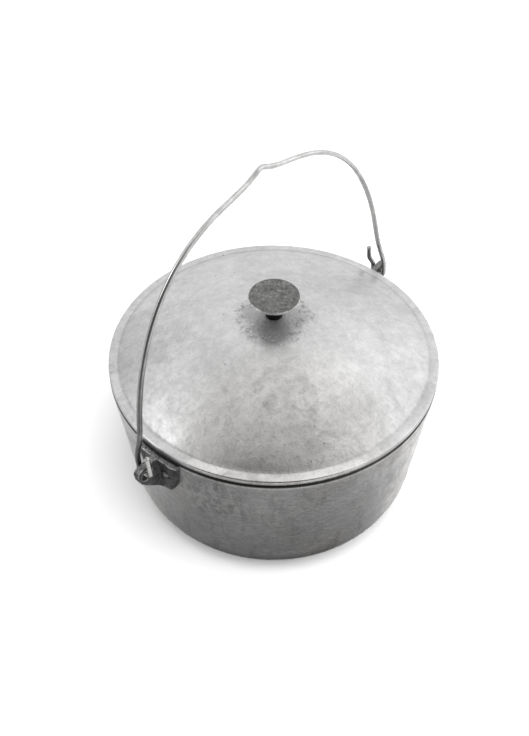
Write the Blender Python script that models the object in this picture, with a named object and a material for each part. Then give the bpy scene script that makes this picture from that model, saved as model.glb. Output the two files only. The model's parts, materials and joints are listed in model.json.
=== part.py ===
"""Cast camp kettle with a lift-off lid and a swinging wire bail.

Lengths are in metres. +Z is up, the origin is the centre of the underside,
and the X axis runs through the two ears that carry the bail.
"""

import math

import bmesh
import bpy
from mathutils import Matrix, Vector

# ---------------------------------------------------------------- dimensions

GAP = 0.0003  # clearance between pieces that touch
TURN_STEPS = 64  # facets round the pot and the lid
KNOB_STEPS = 32
SCREW_STEPS = 24
RIVET_STEPS = 16
EYE_STEPS = 32

# pot
BASE_FLAT_RADIUS = 0.1077
CORNER_RADIUS = 0.041  # between the underside and the wall
WALL_TAPER = math.radians(5.3)  # the wall leans out by this much
WALL = 0.0048
RIM_HEIGHT = 0.167
RIM_OUTER_ROUND = 0.0036
RIM_INNER_CHAMFER = 0.0006

# lid
LID_RADIUS = 0.160
DOME_RADIUS = 0.151  # where the dome meets the flange
DOME_HEIGHT = 0.0452  # crown above the flange
LID_WALL = 0.004
FLANGE = 0.0055
FLANGE_TOP_ROUND = 0.0014
FLANGE_BOTTOM_ROUND = 0.001
LIP_RADIUS = 0.152  # locating lip under the flange, outside
LIP_WIDTH = 0.004
LIP_DEPTH = 0.003
SPOT_FACE_RADIUS = 0.0125  # flat under the crown, for the washer

# knob and its fixing
KNOB_RADIUS = 0.0245
KNOB_HEIGHT = 0.0249
KNOB_FOOT_RADIUS = 0.0083
KNOB_SIDE = [  # (radius, depth below the top), from the worn edge down the waisted stem
    (0.0228, 0.0),
    (0.0240, 0.0005),
    (KNOB_RADIUS, 0.0014),
    (KNOB_RADIUS, 0.0026),
    (0.0235, 0.0036),
    (0.0180, 0.0056),
    (0.0125, 0.0090),
    (0.0092, 0.0135),
    (0.0080, 0.0180),
    (KNOB_FOOT_RADIUS, KNOB_HEIGHT),
]
KNOB_HOLE_DEPTH = 0.0165
KNOB_HOLE_TIP = 0.0015  # the drill's cone at the end of the hole
SCREW_RADIUS = 0.003  # M6
SCREW_HEAD_RADIUS = 0.0055
SCREW_HEAD_HEIGHT = 0.0036
SCREW_LENGTH = 0.018  # under the head
SCREW_CHAMFER = 0.0006
SLOT_WIDTH = 0.0012
SLOT_DEPTH = 0.0012
KNOB_HOLE_RADIUS = SCREW_RADIUS + GAP
LID_HOLE_RADIUS = 0.0034
WASHER_RADIUS = 0.009
WASHER_THICKNESS = 0.0015

# ears
WING_THICKNESS = 0.0062
WING_LOW = 0.12
WING_SHOULDER = 0.1408  # height from which the outline curves in to the lowest point
WING_HIGH = 0.165
WING_HALF_WIDTH = 0.0208  # at the shoulder
WING_FLARE = 0.169  # growth of the half width with height
WING_LOW_POWER = 3.2  # below the shoulder the outline is half a superellipse
WING_HIGH_ROUND = 0.004
LUG_THICKNESS = 0.0068
EYE_OFFSET = 0.1785  # eye centre from the pot's axis
EYE_HEIGHT = 0.1545
EYE_RADIUS = 0.006
BAR_HEIGHT = 0.0045  # material above the eye, which the bail turns about
LUG_END = 0.1885
LUG_LOW = 0.1224
LUG_TOP = EYE_HEIGHT + EYE_RADIUS + BAR_HEIGHT
LUG_CHAMFER = 0.004
LUG_BRACE = [  # (distance from the pot's axis, height) up the lug's sloping underside
    (0.1640, 0.1226),
    (0.1690, 0.1283),
    (0.1745, 0.1342),
    (0.1807, 0.1405),
    (0.1855, 0.1465),
    (0.1876, 0.1525),
    (LUG_END, 0.1585),
]

# rivets, two to an ear
RIVET_OFFSET = 0.0107
RIVET_HEIGHT = 0.148
RIVET_RADIUS = 0.0025
RIVET_HOLE_RADIUS = RIVET_RADIUS + GAP
RIVET_HEAD_RADIUS = 0.0042
RIVET_HEAD_HEIGHT = 0.0021
RIVET_TAIL_RADIUS = 0.004
RIVET_TAIL_HEIGHT = 0.0013
RIVET_TAIL_GAP = 0.0005

# bail, in its own frame: X along the hinge, Z up the arch
PIVOT_HEIGHT = LUG_TOP - BAR_HEIGHT / 2
WIRE_RADIUS = 0.0025
BAIL_LEAN = math.radians(5.2)  # at rest it leans towards +Y
ARCH_HALF_SPAN = 0.1786
ARCH_FOOT = -0.035  # height of the arch's widest point
ARCH_RISE = 0.2333
ARCH_SPAN_POWER = 2.6  # the arch is a superellipse
ARCH_RISE_POWER = 0.424
KINK_RISE = 0.0103  # bend at the crest that centres the kettle on a hook
KINK_WIDTH = 0.0153
KINK_ROUND = 0.3
KINK_OFFSET = 0.0039
HOOK_RADIUS = 0.007  # of the wire's centre line, round the bar
HOOK_CENTRE = -0.00425
LEFT_HOOK_TIP = 0.0163
RIGHT_HOOK_TIP = 0.02
RIGHT_HOOK_SPLAY = 0.0055  # the right hook's free end stands further off its lug
HOOK_SPLAY_RISE = 0.0085  # height over which it gets there
LEG_STRAIGHT = 0.006  # height up to which a leg runs straight beside its lug
LEG_BEND = 0.021  # height over which it then bends in to the arch's plane
WIRE_SIDES_LEVEL = 2  # bevel resolution: eight sides

# ---------------------------------------------------------------- helpers


def clear_scene():
    for item in list(bpy.data.objects):
        bpy.data.objects.remove(item, do_unlink=True)


def metal(name, colour, roughness, metallic=1.0):
    material = bpy.data.materials.new(name)
    material.use_nodes = True
    shader = material.node_tree.nodes["Principled BSDF"]
    shader.inputs["Base Color"].default_value = (*colour, 1.0)
    shader.inputs["Roughness"].default_value = roughness
    shader.inputs["Metallic"].default_value = metallic
    return material


def add_object(name, data, material=None):
    item = bpy.data.objects.new(name, data)
    bpy.context.collection.objects.link(item)
    if material is not None:
        data.materials.append(material)
    return item


def arc(centre_r, centre_z, radius, start, end, count):
    """Points (radius, height) along an arc, angles in radians from +R."""
    points = []
    for step in range(count + 1):
        angle = start + (end - start) * step / count
        points.append((centre_r + radius * math.cos(angle), centre_z + radius * math.sin(angle)))
    return points


def turned(name, profile, material, steps, closed=False):
    """A solid turned about +Z from (radius, height) points that run down its outer side.

    A closed profile goes round a bore; an open one starts and ends on the axis.
    """
    mesh = bpy.data.meshes.new(name)
    edges = [(i, i + 1) for i in range(len(profile) - 1)]
    if closed:
        edges.append((len(profile) - 1, 0))
    mesh.from_pydata([(r, 0.0, z) for r, z in profile], edges, [])
    item = add_object(name, mesh, material)
    screw = item.modifiers.new("turn", "SCREW")
    screw.axis = "Z"
    screw.steps = steps
    screw.render_steps = steps
    screw.use_merge_vertices = True
    screw.merge_threshold = 0.00001
    screw.use_smooth_shade = True
    return item


def apply_modifiers(item):
    """Replaces the object's mesh by the result of its modifiers."""
    graph = bpy.context.evaluated_depsgraph_get()
    graph.update()
    mesh = bpy.data.meshes.new_from_object(item.evaluated_get(graph))
    item.modifiers.clear()
    item.data = mesh
    return item


def add_cutter(name, work):
    """A hidden object from bmesh geometry, which only cuts or joins others."""
    mesh = bpy.data.meshes.new(name)
    work.to_mesh(mesh)
    work.free()
    item = add_object(name, mesh)
    item.hide_render = True
    item.display_type = "WIRE"
    return item


def smooth(item, sharp_degrees=35.0):
    item.data.shade_smooth()
    item.data.set_sharp_from_angle(angle=math.radians(sharp_degrees))


def cylinder_cutter(name, radius, length, transforms, segments=SCREW_STEPS):
    """Cylinders along each transform's Z, in one hidden object that cuts others."""
    work = bmesh.new()
    for transform in transforms:
        bmesh.ops.create_cone(
            work,
            cap_ends=True,
            segments=segments,
            radius1=radius,
            radius2=radius,
            depth=length,
            matrix=transform,
        )
    return add_cutter(name, work)


def boolean(item, other, operation):
    cut = item.modifiers.new(operation.lower(), "BOOLEAN")
    cut.operation = operation
    cut.solver = "EXACT"
    cut.object = other


# ---------------------------------------------------------------- pot wall

WALL_START_R = BASE_FLAT_RADIUS + CORNER_RADIUS * math.cos(WALL_TAPER)
WALL_START_Z = CORNER_RADIUS * (1.0 - math.sin(WALL_TAPER))


def wall_radius(height):
    """Outside radius of the pot's straight wall."""
    return WALL_START_R + (height - WALL_START_Z) * math.tan(WALL_TAPER)


def wall_normal(azimuth):
    """Outward normal of the wall, which points slightly down."""
    level = math.cos(WALL_TAPER)
    return Vector((level * math.cos(azimuth), level * math.sin(azimuth), -math.sin(WALL_TAPER)))


def rivet_frame(ear_azimuth, side):
    """Where a rivet's axis leaves the wall, with Z pointing outwards along the axis."""
    radius = wall_radius(RIVET_HEIGHT)
    azimuth = ear_azimuth + math.asin(side * RIVET_OFFSET / radius)
    place = Vector((radius * math.cos(azimuth), radius * math.sin(azimuth), RIVET_HEIGHT))
    turn = wall_normal(azimuth).to_track_quat("Z", "Y")
    return Matrix.Translation(place) @ turn.to_matrix().to_4x4()


EARS = {"left": math.pi, "right": 0.0}
RIVET_SIDES = {"a": -1.0, "b": 1.0}


# ---------------------------------------------------------------- pieces


def make_pot(material):
    inner_corner = arc(
        BASE_FLAT_RADIUS, CORNER_RADIUS, CORNER_RADIUS - WALL, -math.pi / 2, -WALL_TAPER, 6
    )
    across_wall = WALL / math.cos(WALL_TAPER)
    inner_rim = wall_radius(RIM_HEIGHT) - across_wall
    round_z = RIM_HEIGHT - RIM_OUTER_ROUND
    tangent_z = round_z - RIM_OUTER_ROUND * math.sin(WALL_TAPER)
    round_r = wall_radius(tangent_z) - RIM_OUTER_ROUND * math.cos(WALL_TAPER)
    profile = [(0.0, WALL)]
    profile += inner_corner
    profile.append((inner_rim, RIM_HEIGHT - RIM_INNER_CHAMFER))
    profile.append((inner_rim + RIM_INNER_CHAMFER, RIM_HEIGHT))
    profile += arc(round_r, round_z, RIM_OUTER_ROUND, math.pi / 2, -WALL_TAPER, 4)
    profile += arc(BASE_FLAT_RADIUS, CORNER_RADIUS, CORNER_RADIUS, -WALL_TAPER, -math.pi / 2, 7)
    profile.append((0.0, 0.0))
    pot = turned("kettle_body", profile, material, TURN_STEPS)
    holes = [rivet_frame(ear, side) for ear in EARS.values() for side in RIVET_SIDES.values()]
    boolean(pot, cylinder_cutter("rivet_holes_pot", RIVET_HOLE_RADIUS, 4 * WALL, holes), "DIFFERENCE")
    return pot


def ear_wing(name):
    """The curved plate that lies against the wall, for an ear at +X."""
    columns = 16
    offset = GAP / math.cos(WALL_TAPER)
    work = bmesh.new()
    rings = []
    for step in range(columns + 1):
        # columns crowd towards the rounded ends
        share = -math.cos(math.pi * step / columns)
        low, high = wing_edges(share)
        ring = []
        for z, thickness in ((low, 0.0), (high, 0.0), (high, WING_THICKNESS), (low, WING_THICKNESS)):
            radius = wall_radius(z) + offset + thickness
            y = share * wing_half_width(z)
            ring.append(work.verts.new((math.sqrt(radius**2 - y**2), y, z)))
        rings.append(ring)
    for here, there in zip(rings, rings[1:]):
        for corner in range(4):
            other = (corner + 1) % 4
            work.faces.new((here[corner], there[corner], there[other], here[other]))
    work.faces.new(rings[0])
    work.faces.new(reversed(rings[-1]))
    bmesh.ops.recalc_face_normals(work, faces=work.faces)
    mesh = bpy.data.meshes.new(name)
    work.to_mesh(mesh)
    work.free()
    return add_object(name, mesh)


def wing_half_width(height):
    return WING_HALF_WIDTH + WING_FLARE * (height - WING_SHOULDER)


def wing_edges(share):
    """Heights of the wing's lower and upper edge, share running from -1 to 1 across the wing."""
    depth = max(1.0 - abs(share) ** WING_LOW_POWER, 0.0) ** (1.0 / WING_LOW_POWER)
    low = WING_SHOULDER - (WING_SHOULDER - WING_LOW) * depth
    high = WING_HIGH
    into_corner = WING_HIGH_ROUND - (1.0 - abs(share)) * wing_half_width(WING_HIGH)
    if into_corner > 0.0:
        high -= WING_HIGH_ROUND - math.sqrt(max(WING_HIGH_ROUND**2 - into_corner**2, 0.0))
    return low, high


def ear_lug(name):
    """The plate that stands out from the wing and holds the eye."""
    root = GAP + WING_THICKNESS / 2
    outline = [
        (wall_radius(LUG_TOP) + root, LUG_TOP),
        (wall_radius(LUG_LOW) + root, LUG_LOW),
        *LUG_BRACE,
        (LUG_END, LUG_TOP - LUG_CHAMFER),
        (LUG_END - LUG_CHAMFER, LUG_TOP),
    ]
    work = bmesh.new()
    face = work.faces.new([work.verts.new((x, -LUG_THICKNESS / 2, z)) for x, z in outline])
    grown = bmesh.ops.extrude_face_region(work, geom=[face])
    moved = [part for part in grown["geom"] if isinstance(part, bmesh.types.BMVert)]
    bmesh.ops.translate(work, verts=moved, vec=(0.0, LUG_THICKNESS, 0.0))
    bmesh.ops.recalc_face_normals(work, faces=work.faces)
    return add_cutter(name, work)


def make_ears(material):
    ear = ear_wing("ear_right")
    lug = ear_lug("lug_blank")
    along_y = Matrix.Rotation(math.pi / 2, 4, "X")
    eye = Matrix.Translation((EYE_OFFSET, 0.0, EYE_HEIGHT)) @ along_y
    eye_cutter = cylinder_cutter("eye_cutter", EYE_RADIUS, 3 * LUG_THICKNESS, [eye], EYE_STEPS)
    holes = [rivet_frame(EARS["right"], side) for side in RIVET_SIDES.values()]
    hole_cutter = cylinder_cutter("rivet_holes_ear", RIVET_HOLE_RADIUS, 6 * WING_THICKNESS, holes)
    boolean(ear, lug, "UNION")
    boolean(ear, eye_cutter, "DIFFERENCE")
    boolean(ear, hole_cutter, "DIFFERENCE")
    apply_modifiers(ear)
    for tool in (lug, eye_cutter, hole_cutter):
        bpy.data.objects.remove(tool, do_unlink=True)
    ear.data.materials.clear()
    ear.data.materials.append(material)
    smooth(ear, 30.0)
    other = bpy.data.objects.new("ear_left", ear.data)
    bpy.context.collection.objects.link(other)
    other.rotation_euler.z = EARS["left"]


def make_rivets(material):
    """Domed head outside the wing, flat tail inside the pot, axis along local Z."""
    head_base = WING_THICKNESS + 2 * GAP
    tail_base = -WALL - RIVET_TAIL_GAP
    sphere = (RIVET_HEAD_RADIUS**2 + RIVET_HEAD_HEIGHT**2) / (2 * RIVET_HEAD_HEIGHT)
    rim_angle = math.asin(RIVET_HEAD_RADIUS / sphere)
    centre = head_base + RIVET_HEAD_HEIGHT - sphere
    profile = arc(0.0, centre, sphere, math.pi / 2, math.pi / 2 - rim_angle, 3)
    profile[0] = (0.0, head_base + RIVET_HEAD_HEIGHT)
    profile += [
        (RIVET_RADIUS, head_base),
        (RIVET_RADIUS, tail_base),
        (RIVET_TAIL_RADIUS, tail_base),
        (RIVET_TAIL_RADIUS * 0.8, tail_base - RIVET_TAIL_HEIGHT),
        (0.0, tail_base - RIVET_TAIL_HEIGHT),
    ]
    first = turned("rivet", profile, material, RIVET_STEPS)
    apply_modifiers(first)
    smooth(first)
    for ear_name, ear_azimuth in EARS.items():
        for side_name, side in RIVET_SIDES.items():
            rivet = bpy.data.objects.new(f"rivet_{ear_name}_{side_name}", first.data)
            bpy.context.collection.objects.link(rivet)
            rivet.matrix_world = rivet_frame(ear_azimuth, side)
    bpy.data.objects.remove(first, do_unlink=True)


FLANGE_LOW = RIM_HEIGHT + GAP
FLANGE_HIGH = FLANGE_LOW + FLANGE
DOME_SPHERE = (DOME_RADIUS**2 + DOME_HEIGHT**2) / (2 * DOME_HEIGHT)
DOME_CENTRE = FLANGE_HIGH + DOME_HEIGHT - DOME_SPHERE
CROWN = FLANGE_HIGH + DOME_HEIGHT


def dome_points(sphere, inner_radius, outer_radius, count):
    """Points on the dome from inner_radius out to outer_radius."""
    start = math.pi / 2 - math.asin(inner_radius / sphere)
    end = math.pi / 2 - math.asin(outer_radius / sphere)
    return arc(0.0, DOME_CENTRE, sphere, start, end, count)


SPOT_FACE = DOME_CENTRE + math.sqrt((DOME_SPHERE - LID_WALL) ** 2 - SPOT_FACE_RADIUS**2)
WASHER_TOP = SPOT_FACE - GAP


def make_lid(material):
    edge_top = arc(
        LID_RADIUS - FLANGE_TOP_ROUND, FLANGE_HIGH - FLANGE_TOP_ROUND, FLANGE_TOP_ROUND, math.pi / 2, 0.0, 2
    )
    edge_bottom = arc(
        LID_RADIUS - FLANGE_BOTTOM_ROUND,
        FLANGE_LOW + FLANGE_BOTTOM_ROUND,
        FLANGE_BOTTOM_ROUND,
        0.0,
        -math.pi / 2,
        2,
    )
    lip_inner = LIP_RADIUS - LIP_WIDTH
    profile = [(LID_HOLE_RADIUS, SPOT_FACE)]
    profile += dome_points(DOME_SPHERE, LID_HOLE_RADIUS, DOME_RADIUS, 11)
    profile += edge_top + edge_bottom
    profile += [
        (LIP_RADIUS, FLANGE_LOW),
        (LIP_RADIUS, FLANGE_LOW - LIP_DEPTH),
        (lip_inner, FLANGE_LOW - LIP_DEPTH),
    ]
    profile += reversed(dome_points(DOME_SPHERE - LID_WALL, SPOT_FACE_RADIUS, lip_inner - 0.0005, 8))
    return turned("lid", profile, material, TURN_STEPS, closed=True)


def make_knob(material):
    """Mushroom knob on a waisted stem, with a blind threaded hole from below."""
    base = CROWN + GAP
    hole_end = base + KNOB_HOLE_DEPTH
    profile = [(0.0, base + KNOB_HEIGHT)]
    profile += [(radius, base + KNOB_HEIGHT - depth) for radius, depth in KNOB_SIDE]
    profile += [(KNOB_HOLE_RADIUS, base), (KNOB_HOLE_RADIUS, hole_end), (0.0, hole_end + KNOB_HOLE_TIP)]
    return turned("lid_knob", profile, material, KNOB_STEPS)


def make_washer(material):
    low = WASHER_TOP - WASHER_THICKNESS
    profile = [
        (SCREW_RADIUS + GAP, low),
        (SCREW_RADIUS + GAP, WASHER_TOP),
        (WASHER_RADIUS, WASHER_TOP),
        (WASHER_RADIUS, low),
    ]
    return turned("knob_washer", profile, material, KNOB_STEPS, closed=True)


def make_screw(material):
    """Slotted pan-head screw, head down, that holds the knob from inside the lid."""
    head_top = WASHER_TOP - WASHER_THICKNESS - GAP
    head_low = head_top - SCREW_HEAD_HEIGHT
    tip = head_top + SCREW_LENGTH
    profile = [
        (0.0, tip),
        (SCREW_RADIUS - SCREW_CHAMFER, tip),
        (SCREW_RADIUS, tip - SCREW_CHAMFER),
        (SCREW_RADIUS, head_top),
        (SCREW_HEAD_RADIUS, head_top),
        (SCREW_HEAD_RADIUS, head_low + 0.45 * SCREW_HEAD_HEIGHT),
        (0.7 * SCREW_HEAD_RADIUS, head_low + 0.1 * SCREW_HEAD_HEIGHT),
        (0.0, head_low),
    ]
    screw = turned("knob_screw", profile, material, SCREW_STEPS)
    slot_size = Matrix.Diagonal((4 * SCREW_HEAD_RADIUS, SLOT_WIDTH, 2 * SLOT_DEPTH, 1.0))
    work = bmesh.new()
    bmesh.ops.create_cube(work, size=1.0, matrix=Matrix.Translation((0.0, 0.0, head_low)) @ slot_size)
    slot = add_cutter("screw_slot", work)
    boolean(screw, slot, "DIFFERENCE")
    return screw


def arch_height(x):
    """Height of the arch at x: a superellipse with a softly pointed bend at its crest."""
    across = abs(x) / ARCH_HALF_SPAN
    reach = math.hypot((x - KINK_OFFSET) / KINK_WIDTH, KINK_ROUND) - KINK_ROUND
    arch = ARCH_FOOT + ARCH_RISE * (1.0 - across**ARCH_SPAN_POWER) ** ARCH_RISE_POWER
    return arch + KINK_RISE * math.exp(-reach)


def leg_offset(height):
    """How far the wire stands off the arch's plane, to pass beside the lug at its foot."""
    above = max(height - LEG_STRAIGHT, 0.0)
    return HOOK_RADIUS * math.exp(-((above / LEG_BEND) ** 2))


def hook_path(tip, splay):
    """A hook from its free end to its foot, as (distance off the arch's plane, height)."""
    rise_steps, bend_steps = 4, 10
    points = [(HOOK_RADIUS + splay, tip)]
    for step in range(rise_steps + 1):
        share = 1.0 - step / rise_steps
        points.append((HOOK_RADIUS + splay * share**2 * (3.0 - 2.0 * share), HOOK_SPLAY_RISE * share))
    for step in range(bend_steps):
        angle = math.pi * step / bend_steps
        points.append((HOOK_RADIUS * math.cos(angle), HOOK_CENTRE - HOOK_RADIUS * math.sin(angle)))
    return points


def bail_path():
    """Centre line of the wire, from one hook's tip over the arch to the other's."""
    foot_share = ((HOOK_CENTRE - ARCH_FOOT) / ARCH_RISE) ** (1.0 / ARCH_RISE_POWER)
    foot = ARCH_HALF_SPAN * (1.0 - foot_share) ** (1.0 / ARCH_SPAN_POWER)
    arch_steps = 96
    arch = []
    for step in range(arch_steps + 1):
        x = -foot * math.cos(math.pi * step / arch_steps)
        z = arch_height(x)
        arch.append((x, -x / foot * leg_offset(z), z))
    left_hook = [(-foot, -off, z) for off, z in hook_path(LEFT_HOOK_TIP, 0.0)]
    right_hook = [(foot, off, z) for off, z in hook_path(RIGHT_HOOK_TIP, RIGHT_HOOK_SPLAY)]
    return left_hook + arch + right_hook[::-1]


def make_bail(material):
    curve = bpy.data.curves.new("bail", "CURVE")
    curve.dimensions = "3D"
    curve.bevel_depth = WIRE_RADIUS
    curve.bevel_resolution = WIRE_SIDES_LEVEL
    curve.use_fill_caps = True
    points = bail_path()
    spline = curve.splines.new("POLY")
    spline.points.add(len(points) - 1)
    for target, point in zip(spline.points, points):
        target.co = (*point, 1.0)
    bail = add_object("bail", curve, material)
    bail.location = (0.0, 0.0, PIVOT_HEIGHT)
    bail.rotation_euler.x = -BAIL_LEAN


def main():
    clear_scene()
    wall_metal = metal("cast_aluminium", (0.42, 0.42, 0.42), 0.42)
    lid_metal = metal("lid_aluminium", (0.62, 0.62, 0.61), 0.36)
    knob_metal = metal("knob_aluminium", (0.28, 0.28, 0.28), 0.5)
    ear_metal = metal("ear_casting", (0.10, 0.10, 0.10), 0.6)
    rivet_metal = metal("rivet_aluminium", (0.16, 0.16, 0.16), 0.5)
    wire_metal = metal("bail_wire", (0.52, 0.52, 0.52), 0.34)
    zinc = metal("zinc_steel", (0.55, 0.56, 0.58), 0.35)
    make_pot(wall_metal)
    make_lid(lid_metal)
    make_knob(knob_metal)
    make_washer(zinc)
    make_screw(zinc)
    make_ears(ear_metal)
    make_rivets(rivet_metal)
    make_bail(wire_metal)


main()
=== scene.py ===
"""Looks of the camp kettle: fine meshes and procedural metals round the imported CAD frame.

Lengths are in metres, in the CAD frame: +Z up, origin under the centre of the pot,
X through the two ears. Places come from the CAD nodes' boxes.
"""

import json
import math

import bmesh
import bpy
from mathutils import Matrix, Vector, noise


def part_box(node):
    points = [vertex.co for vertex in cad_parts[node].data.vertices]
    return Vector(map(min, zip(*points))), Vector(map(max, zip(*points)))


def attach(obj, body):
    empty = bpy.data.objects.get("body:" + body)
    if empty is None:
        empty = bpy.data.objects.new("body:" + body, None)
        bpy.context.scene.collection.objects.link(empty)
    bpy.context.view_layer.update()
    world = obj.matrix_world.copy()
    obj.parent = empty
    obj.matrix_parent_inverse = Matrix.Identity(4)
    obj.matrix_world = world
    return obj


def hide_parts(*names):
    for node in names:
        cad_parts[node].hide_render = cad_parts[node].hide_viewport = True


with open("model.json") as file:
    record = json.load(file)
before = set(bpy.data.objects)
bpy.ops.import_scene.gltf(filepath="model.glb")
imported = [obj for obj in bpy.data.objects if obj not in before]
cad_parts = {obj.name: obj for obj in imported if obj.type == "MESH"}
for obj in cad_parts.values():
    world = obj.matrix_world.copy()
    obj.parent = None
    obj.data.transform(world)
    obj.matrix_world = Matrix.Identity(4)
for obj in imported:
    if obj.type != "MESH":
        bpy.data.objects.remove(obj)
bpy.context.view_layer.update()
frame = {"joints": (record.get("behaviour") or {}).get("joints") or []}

# ---------------------------------------------------------------- sizes from the frame

_, pot_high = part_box("kettle_body")
lid_low, lid_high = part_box("lid")
knob_low, knob_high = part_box("lid_knob")
screw_low, screw_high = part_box("knob_screw")
washer_low, washer_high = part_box("knob_washer")
ear_low, ear_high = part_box("ear_right")
PIVOT_HEIGHT = next(j for j in frame["joints"] if j["name"] == "bail_swing")["pos_m"][2]

GAP = 0.0003  # between separate pieces
TURN_STEPS = 288  # round the axis of the pot and the lid
RIVET_HOLE_RADIUS = 0.0028

RIM_HEIGHT = pot_high.z
CORNER_RADIUS = 0.041
WALL_TAPER = math.radians(5.3)  # the wall leans out by this much
WALL = 0.0048
BASE_FLAT_RADIUS = 0.1077
RIM_OUTER_ROUND = 0.0036
RIM_INNER_ROUND = 0.0006

LID_INSET = 0.00003  # keeps the lid inside its CAD box
LID_RADIUS = lid_high.x - LID_INSET
LIP_DEPTH = 0.003
FLANGE_LOW = lid_low.z + LIP_DEPTH
FLANGE_THICKNESS = 0.0055
FLANGE_HIGH = FLANGE_LOW + FLANGE_THICKNESS
CROWN = lid_high.z
DOME_RADIUS = 0.151
DOME_ROLL = 0.004  # width over which the dome rolls into the flange
DOME_SAG = 0.00035
DOME_HEIGHT = CROWN - FLANGE_HIGH
DOME_SPHERE = (DOME_RADIUS**2 + DOME_HEIGHT**2) / (2 * DOME_HEIGHT)
DOME_CENTRE = CROWN - DOME_SPHERE
LID_WALL = 0.004
LIP_RADIUS = 0.152
LIP_WIDTH = 0.004
SPOT_FACE_RADIUS = 0.0125
LID_HOLE_RADIUS = 0.0034

KNOB_RADIUS = knob_high.x
EYE_OFFSET = 0.1785
EYE_HEIGHT = 0.1545
EYE_RADIUS = 0.006
LUG_THICKNESS = 0.0068
LUG_END = ear_high.x
LUG_TOP = ear_high.z
WING_LOW = ear_low.z
WING_SHOULDER = 0.1408
WING_HIGH = LUG_TOP
WING_DIP_THICKNESS = 0.0053
WING_PAD = 0.0007  # rise of the pads near the wing's ends
WING_END_DROP = 0.0037  # loss of thickness at the rounded ends
WING_HALF_WIDTH = 0.0208  # at the shoulder
WING_FLARE = 0.169  # growth of the half width with height
WING_LOW_POWER = 3.2  # below the shoulder the outline is half a superellipse
WING_HIGH_ROUND = 0.004
LUG_LOW = 0.1224

RIVET_OFFSET = 0.0107
RIVET_HEIGHT = 0.148

WALL_START_R = BASE_FLAT_RADIUS + CORNER_RADIUS * math.cos(WALL_TAPER)
WALL_START_Z = CORNER_RADIUS * (1.0 - math.sin(WALL_TAPER))

# ---------------------------------------------------------------- mesh helpers


def smoothstep(low, high, value):
    share = min(max((value - low) / (high - low), 0.0), 1.0)
    return share * share * (3.0 - 2.0 * share)


def arc(centre_r, centre_z, radius, start, end, count):
    points = []
    for step in range(count + 1):
        angle = start + (end - start) * step / count
        points.append((centre_r + radius * math.cos(angle), centre_z + radius * math.sin(angle)))
    return points


def fill_in(profile, spacing):
    """Adds points on long straight stretches, so that vertex moves have something to bend."""
    points = [profile[0]]
    for (r0, z0), (r1, z1) in zip(profile, profile[1:]):
        count = max(1, math.ceil(math.hypot(r1 - r0, z1 - z0) / spacing))
        points += [(r0 + (r1 - r0) * i / count, z0 + (z1 - z0) * i / count) for i in range(1, count + 1)]
    return points


def finish_mesh(name, work, sharp_degrees=40.0):
    mesh = bpy.data.meshes.new(name)
    bmesh.ops.recalc_face_normals(work, faces=work.faces)
    work.to_mesh(mesh)
    work.free()
    mesh.shade_smooth()
    mesh.set_sharp_from_angle(angle=math.radians(sharp_degrees))
    item = bpy.data.objects.new(name, mesh)
    bpy.context.scene.collection.objects.link(item)
    return item


def lathe(work, profile, steps, closed=False, move=None):
    """Turns (radius, height) points about +Z. move(point) returns the point's new place."""
    rings = []
    for radius, height in profile:
        ring = []
        count = 1 if radius < 1e-7 else steps
        for step in range(count):
            angle = 2 * math.pi * step / steps
            point = Vector((radius * math.cos(angle), radius * math.sin(angle), height))
            ring.append(work.verts.new(move(point) if move else point))
        rings.append(ring)
    pairs = list(zip(rings, rings[1:]))
    if closed:
        pairs.append((rings[-1], rings[0]))
    for above, below in pairs:
        for step in range(steps):
            other = (step + 1) % steps
            corners = [
                above[step % len(above)],
                above[other % len(above)],
                below[other % len(below)],
                below[step % len(below)],
            ]
            face = list(dict.fromkeys(corners))
            if len(face) > 2:
                work.faces.new(face)


def turned(name, profile, steps, closed=False, move=None, sharp_degrees=40.0):
    work = bmesh.new()
    lathe(work, profile, steps, closed, move)
    return finish_mesh(name, work, sharp_degrees)


def new_from(name, work):
    mesh = bpy.data.meshes.new(name)
    work.to_mesh(mesh)
    work.free()
    item = bpy.data.objects.new(name, mesh)
    bpy.context.scene.collection.objects.link(item)
    return item


def apply_modifiers(item):
    graph = bpy.context.evaluated_depsgraph_get()
    graph.update()
    mesh = bpy.data.meshes.new_from_object(item.evaluated_get(graph))
    item.modifiers.clear()
    old = item.data
    item.data = mesh
    bpy.data.meshes.remove(old)


def cut(item, cutter, operation="DIFFERENCE"):
    boolean = item.modifiers.new(operation, "BOOLEAN")
    boolean.operation = operation
    boolean.solver = "EXACT"
    boolean.object = cutter
    apply_modifiers(item)
    bpy.data.objects.remove(cutter, do_unlink=True)


def cylinders(name, radius, length, transforms, segments=48):
    work = bmesh.new()
    for transform in transforms:
        bmesh.ops.create_cone(
            work, cap_ends=True, segments=segments,
            radius1=radius, radius2=radius, depth=length, matrix=transform,
        )
    return new_from(name, work)


def wall_radius(height):
    return WALL_START_R + (height - WALL_START_Z) * math.tan(WALL_TAPER)


def rivet_frame(ear_azimuth, side):
    """Where a rivet's axis leaves the wall, Z pointing outwards along the axis."""
    radius = wall_radius(RIVET_HEIGHT)
    azimuth = ear_azimuth + math.asin(side * RIVET_OFFSET / radius)
    level = math.cos(WALL_TAPER)
    normal = Vector((level * math.cos(azimuth), level * math.sin(azimuth), -math.sin(WALL_TAPER)))
    place = Vector((radius * math.cos(azimuth), radius * math.sin(azimuth), RIVET_HEIGHT))
    return Matrix.Translation(place) @ normal.to_track_quat("Z", "Y").to_matrix().to_4x4()


EARS = {"left": math.pi, "right": 0.0}
RIVET_SIDES = {"a": -1.0, "b": 1.0}

# ---------------------------------------------------------------- node helpers


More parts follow.
